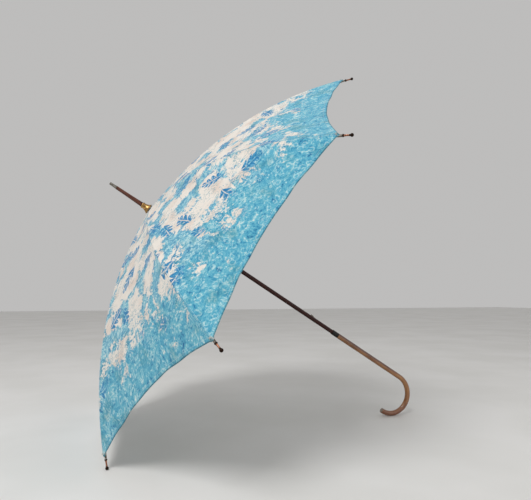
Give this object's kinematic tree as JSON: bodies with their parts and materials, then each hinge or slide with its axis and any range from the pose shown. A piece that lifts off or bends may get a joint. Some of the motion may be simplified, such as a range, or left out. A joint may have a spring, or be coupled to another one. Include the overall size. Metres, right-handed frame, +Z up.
{
  "type": "stick umbrella",
  "caption": "Open stick umbrella with a domed printed cotton canopy on hinged steel ribs, a sliding runner, a brass crown cup and a cane crook handle.",
  "frame": {"origin": "on the surface that the umbrella lies on, under the middle of its bounding box", "axes": "+Z up; the stick lies in the XZ plane, with the crook handle towards +X and down and the ferrule towards -X and up"},
  "size_m": [0.73, 0.888, 0.7515],
  "materials": {
    "canopy_cloth": "plain weave cotton, off-white with a blue scroll print",
    "dark_wood": "dark stained and varnished",
    "cane": "bent cane, clear varnish, satin gloss",
    "brass": "aged, softly polished",
    "dark_brass": "aged dark, worn bright on the neck",
    "steel": "aged, slightly dull",
    "black_lacquer": "black lacquer, satin",
    "felt": "cloth washer"
  },
  "bodies": {
    "stick": {"shaft": "dark_wood", "ferrule_cap": "steel", "crown_cup": "brass", "crown_washer": "felt", "top_notch": "brass", "notch_wire": "steel", "notch_pin": "steel", "handle_collar": "black_lacquer", "handle": "cane"},
    "runner": {"runner": "brass"},
    "upper_catch": {"upper_catch": "steel"},
    "lower_catch": {"lower_catch": "steel"},
    "rib_assembly_1": {"rib_1": "steel", "rib_tip_1": "dark_brass", "rivet_1": "steel", "canopy_1": "canopy_cloth"},
    "stretcher_arm_1": {"stretcher_1": "steel"},
    "rib_assembly_2": {"rib_2": "steel", "rib_tip_2": "dark_brass", "rivet_2": "steel", "canopy_2": "canopy_cloth"},
    "stretcher_arm_2": {"stretcher_2": "steel"},
    "rib_assembly_3": {"rib_3": "steel", "rib_tip_3": "dark_brass", "rivet_3": "steel", "canopy_3": "canopy_cloth"},
    "stretcher_arm_3": {"stretcher_3": "steel"},
    "rib_assembly_4": {"rib_4": "steel", "rib_tip_4": "dark_brass", "rivet_4": "steel", "canopy_4": "canopy_cloth"},
    "stretcher_arm_4": {"stretcher_4": "steel"},
    "rib_assembly_5": {"rib_5": "steel", "rib_tip_5": "dark_brass", "rivet_5": "steel", "canopy_5": "canopy_cloth"},
    "stretcher_arm_5": {"stretcher_5": "steel"},
    "rib_assembly_6": {"rib_6": "steel", "rib_tip_6": "dark_brass", "rivet_6": "steel", "canopy_6": "canopy_cloth"},
    "stretcher_arm_6": {"stretcher_6": "steel"},
    "rib_assembly_7": {"rib_7": "steel", "rib_tip_7": "dark_brass", "rivet_7": "steel", "canopy_7": "canopy_cloth"},
    "stretcher_arm_7": {"stretcher_7": "steel"},
    "rib_assembly_8": {"rib_8": "steel", "rib_tip_8": "dark_brass", "rivet_8": "steel", "canopy_8": "canopy_cloth"},
    "stretcher_arm_8": {"stretcher_8": "steel"}
  },
  "joints": [
    {"name": "runner_slide", "type": "slide", "parent": "stick", "child": "runner", "axis": [0.8454, 0, -0.5342], "range_m": [0, 0.337], "deforming": ["canopy_1", "canopy_2", "canopy_3", "canopy_4", "canopy_5", "canopy_6", "canopy_7", "canopy_8", "upper_catch", "lower_catch"]},
    {"name": "upper_catch_press", "type": "slide", "parent": "stick", "child": "upper_catch", "axis": [-0.5342, 0, -0.8454], "range_m": [0, 0.0026], "stiffness_N_per_m": 600},
    {"name": "lower_catch_press", "type": "slide", "parent": "stick", "child": "lower_catch", "axis": [-0.5342, 0, -0.8454], "range_m": [0, 0.0026], "stiffness_N_per_m": 600},
    {"name": "rib_hinge_1", "type": "hinge", "parent": "stick", "child": "rib_assembly_1", "pos_m": [-0.27241, 0.00344, 0.46734], "axis": [-0.2044, -0.9239, -0.3235], "range_deg": [0, 68]},
    {"name": "stretcher_hinge_1", "type": "hinge", "parent": "rib_assembly_1", "child": "stretcher_arm_1", "pos_m": [-0.34373, 0.08228, 0.28728], "axis": [-0.2044, -0.9239, -0.3235], "range_deg": [-136, 0]},
    {"name": "rib_hinge_2", "type": "hinge", "parent": "stick", "child": "rib_assembly_2", "pos_m": [-0.27241, -0.00344, 0.46734], "axis": [0.2044, -0.9239, 0.3235], "range_deg": [0, 68]},
    {"name": "stretcher_hinge_2", "type": "hinge", "parent": "rib_assembly_2", "child": "stretcher_arm_2", "pos_m": [-0.34373, -0.08228, 0.28728], "axis": [0.2044, -0.9239, 0.3235], "range_deg": [-136, 0]},
    {"name": "rib_hinge_3", "type": "hinge", "parent": "stick", "child": "rib_assembly_3", "pos_m": [-0.26981, -0.00831, 0.47146], "axis": [0.4935, -0.3827, 0.781], "range_deg": [0, 68]},
    {"name": "stretcher_hinge_3", "type": "hinge", "parent": "rib_assembly_3", "child": "stretcher_arm_3", "pos_m": [-0.28157, -0.19863, 0.38564], "axis": [0.4935, -0.3827, 0.781], "range_deg": [-136, 0]},
    {"name": "rib_hinge_4", "type": "hinge", "parent": "stick", "child": "rib_assembly_4", "pos_m": [-0.26613, -0.00831, 0.47728], "axis": [0.4935, 0.3827, 0.781], "range_deg": [0, 68]},
    {"name": "stretcher_hinge_4", "type": "hinge", "parent": "rib_assembly_4", "child": "stretcher_arm_4", "pos_m": [-0.19367, -0.19863, 0.52475], "axis": [0.4935, 0.3827, 0.781], "range_deg": [-136, 0]},
    {"name": "rib_hinge_5", "type": "hinge", "parent": "stick", "child": "rib_assembly_5", "pos_m": [-0.26352, -0.00344, 0.4814], "axis": [0.2044, 0.9239, 0.3235], "range_deg": [0, 68]},
    {"name": "stretcher_hinge_5", "type": "hinge", "parent": "rib_assembly_5", "child": "stretcher_arm_5", "pos_m": [-0.13151, -0.08228, 0.62311], "axis": [0.2044, 0.9239, 0.3235], "range_deg": [-136, 0]},
    {"name": "rib_hinge_6", "type": "hinge", "parent": "stick", "child": "rib_assembly_6", "pos_m": [-0.26352, 0.00344, 0.4814], "axis": [-0.2044, 0.9239, -0.3235], "range_deg": [0, 68]},
    {"name": "stretcher_hinge_6", "type": "hinge", "parent": "rib_assembly_6", "child": "stretcher_arm_6", "pos_m": [-0.13151, 0.08228, 0.62311], "axis": [-0.2044, 0.9239, -0.3235], "range_deg": [-136, 0]},
    {"name": "rib_hinge_7", "type": "hinge", "parent": "stick", "child": "rib_assembly_7", "pos_m": [-0.26613, 0.00831, 0.47728], "axis": [-0.4935, 0.3827, -0.781], "range_deg": [0, 68]},
    {"name": "stretcher_hinge_7", "type": "hinge", "parent": "rib_assembly_7", "child": "stretcher_arm_7", "pos_m": [-0.19367, 0.19863, 0.52475], "axis": [-0.4935, 0.3827, -0.781], "range_deg": [-136, 0]},
    {"name": "rib_hinge_8", "type": "hinge", "parent": "stick", "child": "rib_assembly_8", "pos_m": [-0.26981, 0.00831, 0.47146], "axis": [-0.4935, -0.3827, -0.781], "range_deg": [0, 68]},
    {"name": "stretcher_hinge_8", "type": "hinge", "parent": "rib_assembly_8", "child": "stretcher_arm_8", "pos_m": [-0.28157, 0.19863, 0.38564], "axis": [-0.4935, -0.3827, -0.781], "range_deg": [-136, 0]}
  ],
  "couplings": [
    {"joint": "rib_hinge_1", "follows": "runner_slide", "rad_per_m": 3.5186},
    {"joint": "stretcher_hinge_1", "follows": "runner_slide", "rad_per_m": -7.0372},
    {"joint": "rib_hinge_2", "follows": "runner_slide", "rad_per_m": 3.5186},
    {"joint": "stretcher_hinge_2", "follows": "runner_slide", "rad_per_m": -7.0372},
    {"joint": "rib_hinge_3", "follows": "runner_slide", "rad_per_m": 3.5186},
    {"joint": "stretcher_hinge_3", "follows": "runner_slide", "rad_per_m": -7.0372},
    {"joint": "rib_hinge_4", "follows": "runner_slide", "rad_per_m": 3.5186},
    {"joint": "stretcher_hinge_4", "follows": "runner_slide", "rad_per_m": -7.0372},
    {"joint": "rib_hinge_5", "follows": "runner_slide", "rad_per_m": 3.5186},
    {"joint": "stretcher_hinge_5", "follows": "runner_slide", "rad_per_m": -7.0372},
    {"joint": "rib_hinge_6", "follows": "runner_slide", "rad_per_m": 3.5186},
    {"joint": "stretcher_hinge_6", "follows": "runner_slide", "rad_per_m": -7.0372},
    {"joint": "rib_hinge_7", "follows": "runner_slide", "rad_per_m": 3.5186},
    {"joint": "stretcher_hinge_7", "follows": "runner_slide", "rad_per_m": -7.0372},
    {"joint": "rib_hinge_8", "follows": "runner_slide", "rad_per_m": 3.5186},
    {"joint": "stretcher_hinge_8", "follows": "runner_slide", "rad_per_m": -7.0372}
  ]
}
